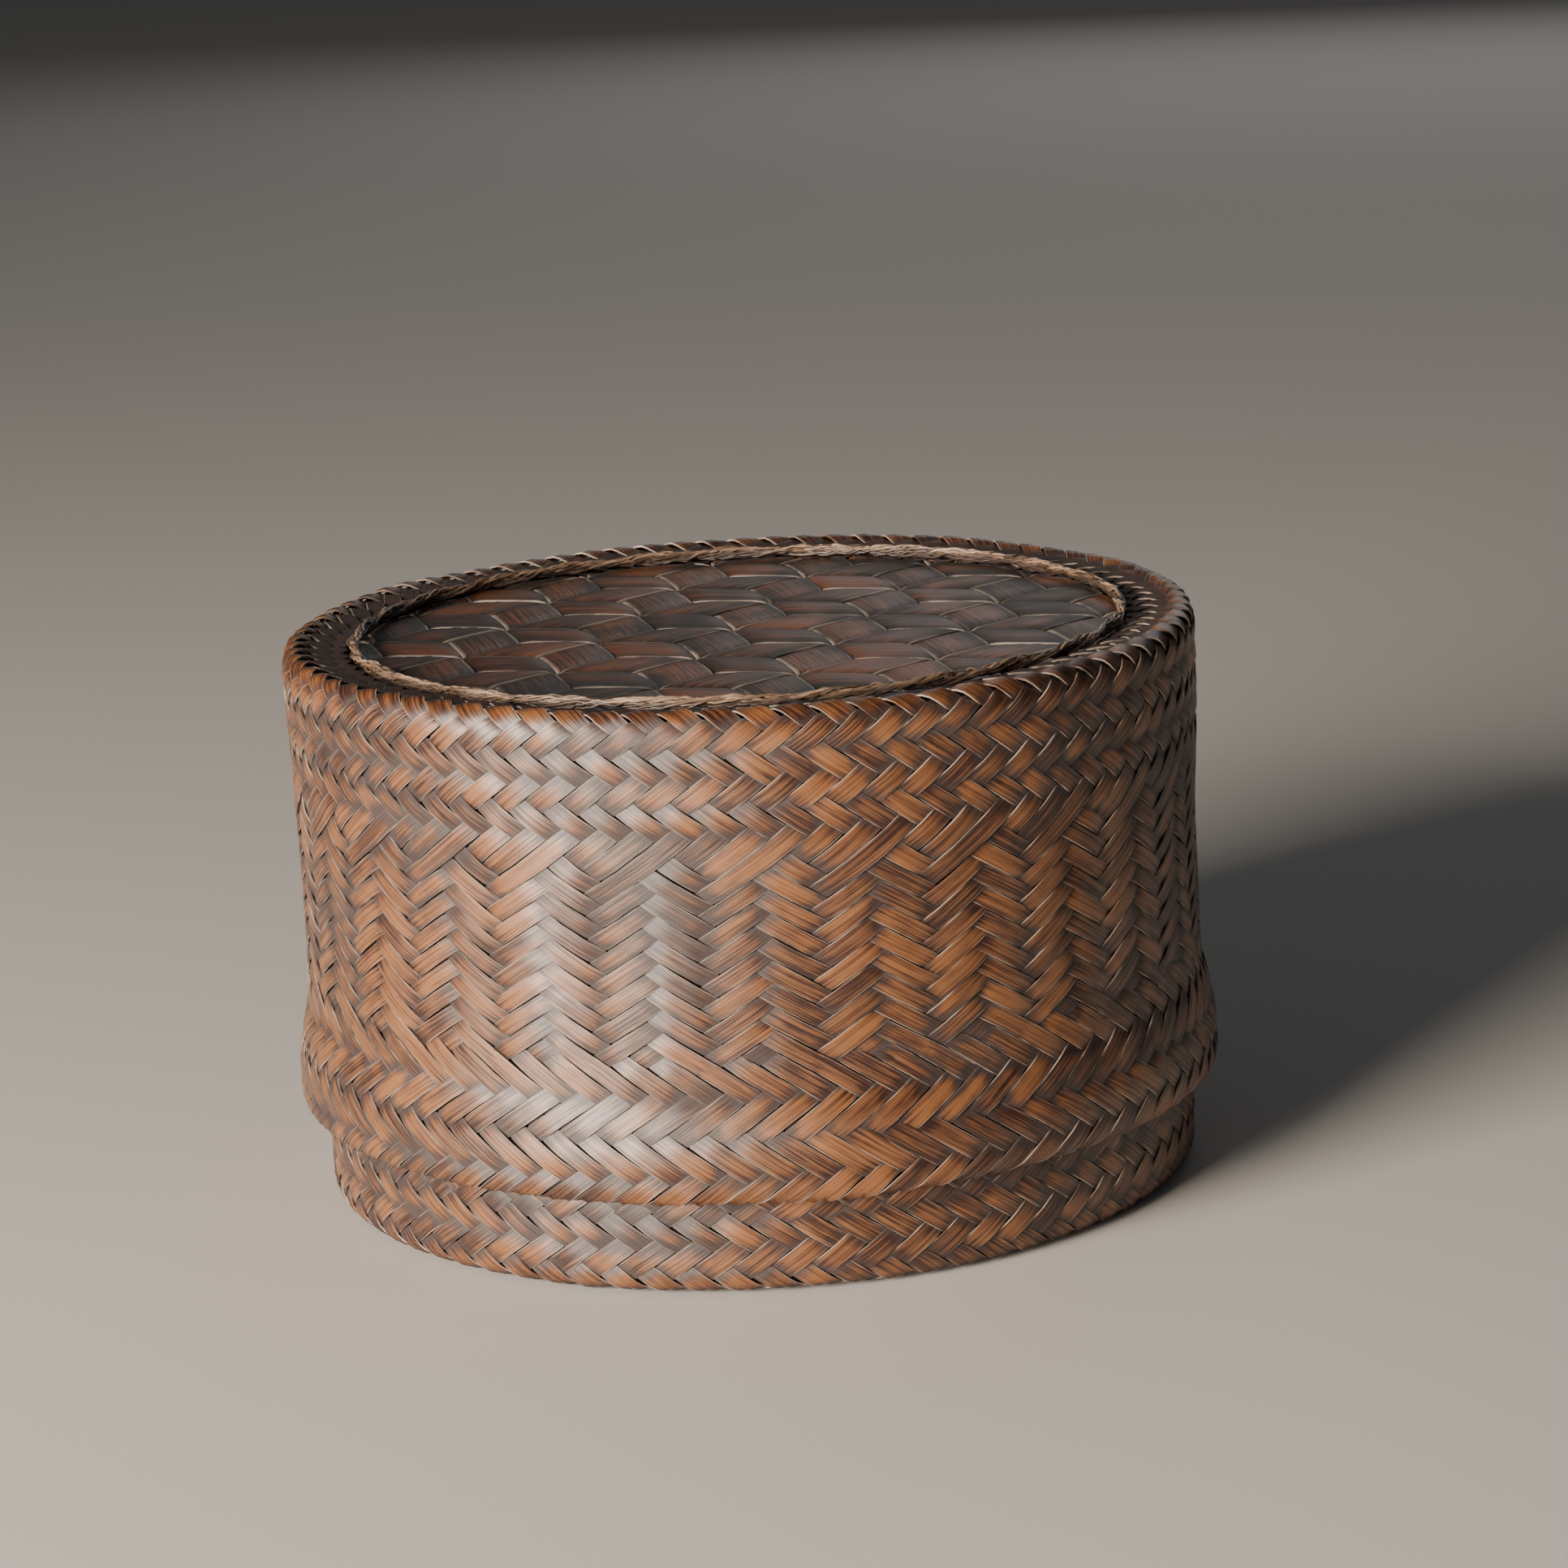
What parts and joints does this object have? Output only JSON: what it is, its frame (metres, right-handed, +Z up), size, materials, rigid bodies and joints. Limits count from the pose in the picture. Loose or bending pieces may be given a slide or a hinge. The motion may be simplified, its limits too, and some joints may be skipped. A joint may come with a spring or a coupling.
{
  "type": "lidded woven basket",
  "caption": "Round basket of woven bamboo splints with a tall telescoping lid, double walls, recessed three-way woven end panels and twined binding rings.",
  "frame": {"origin": "middle of the base's underside, on the surface that it stands on", "axes": "+Z up along the basket's upright axis, which the lid slides along"},
  "size_m": [0.2046, 0.2046, 0.1237],
  "materials": {
    "outer_splint": "aged bamboo splint with a satin brown patina",
    "inner_splint": "aged bamboo splint, less handled, dull",
    "panel_strip": "wide bamboo strip, dark grey-brown, worn pale at the edges",
    "hoop": "split bamboo, plain",
    "binding": "rough twined bamboo strand, frayed"
  },
  "bodies": {
    "base": {"base_outer_wall": "outer_splint", "base_inner_wall": "inner_splint", "base_mouth_hoop": "hoop", "base_panel": "panel_strip", "base_binding_strand_1": "binding", "base_binding_strand_2": "binding"},
    "lid": {"lid_outer_wall": "outer_splint", "lid_inner_wall": "inner_splint", "lid_mouth_hoop": "hoop", "lid_panel_strip_a01": "panel_strip", "lid_panel_strip_a02": "panel_strip", "lid_panel_strip_a03": "panel_strip", "lid_panel_strip_a04": "panel_strip", "lid_panel_strip_a05": "panel_strip", "lid_panel_strip_a06": "panel_strip", "lid_panel_strip_a07": "panel_strip", "lid_panel_strip_a08": "panel_strip", "lid_panel_strip_a09": "panel_strip", "lid_panel_strip_a10": "panel_strip", "lid_panel_strip_a11": "panel_strip", "lid_panel_strip_a12": "panel_strip", "lid_panel_strip_b01": "panel_strip", "lid_panel_strip_b02": "panel_strip", "lid_panel_strip_b03": "panel_strip", "lid_panel_strip_b04": "panel_strip", "lid_panel_strip_b05": "panel_strip", "lid_panel_strip_b06": "panel_strip", "lid_panel_strip_b07": "panel_strip", "lid_panel_strip_b08": "panel_strip", "lid_panel_strip_b09": "panel_strip", "lid_panel_strip_b10": "panel_strip", "lid_panel_strip_b11": "panel_strip", "lid_panel_strip_b12": "panel_strip", "lid_panel_strip_c01": "panel_strip", "lid_panel_strip_c02": "panel_strip", "lid_panel_strip_c03": "panel_strip", "lid_panel_strip_c04": "panel_strip", "lid_panel_strip_c05": "panel_strip", "lid_panel_strip_c06": "panel_strip", "lid_panel_strip_c07": "panel_strip", "lid_panel_strip_c08": "panel_strip", "lid_panel_strip_c09": "panel_strip", "lid_panel_strip_c10": "panel_strip", "lid_panel_strip_c11": "panel_strip", "lid_panel_strip_c12": "panel_strip", "lid_binding_strand_1": "binding", "lid_binding_strand_2": "binding"}
  },
  "joints": [
    {"name": "lid_lift", "type": "slide", "parent": "base", "child": "lid", "axis": [0, 0, 1], "range_m": [0, 0.11]}
  ]
}
